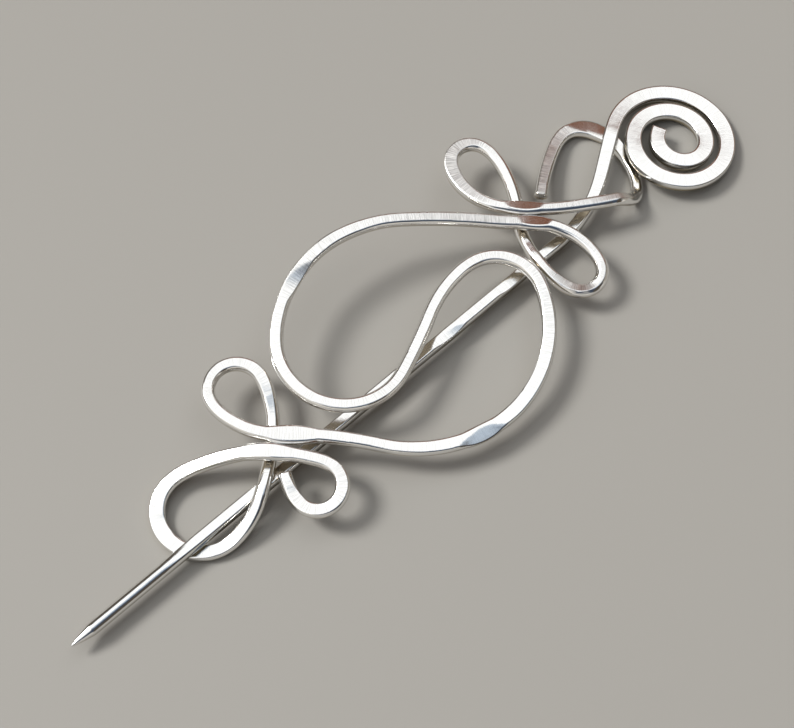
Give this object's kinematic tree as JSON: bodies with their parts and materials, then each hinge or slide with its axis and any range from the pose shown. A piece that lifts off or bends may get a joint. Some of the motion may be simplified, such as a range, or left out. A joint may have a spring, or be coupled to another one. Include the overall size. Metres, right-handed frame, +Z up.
{
  "type": "shawl pin",
  "caption": "Hammered wire shawl pin: a domed open scroll frame with looped ends, held to cloth by a straight stick with a spiral head.",
  "frame": {"origin": "on the surface that the pin lies on, under the middle of its outline", "axes": "+X along the stick from its point towards its spiral head, +Y across the frame towards its higher scroll lobe, +Z up from the surface"},
  "size_m": [0.119, 0.0356, 0.0104],
  "materials": {
    "frame_wire": "hammered and brushed bright, with rounded polished sides",
    "stick_wire": "hammered and brushed bright, filed point"
  },
  "bodies": {
    "frame": {"scroll_frame": "frame_wire"},
    "stick": {"stick_pin": "stick_wire"}
  },
  "joints": [
    {"name": "stick_draw", "type": "slide", "parent": "frame", "child": "stick", "axis": [1, 0, 0], "range_m": [0, 0.11]}
  ]
}
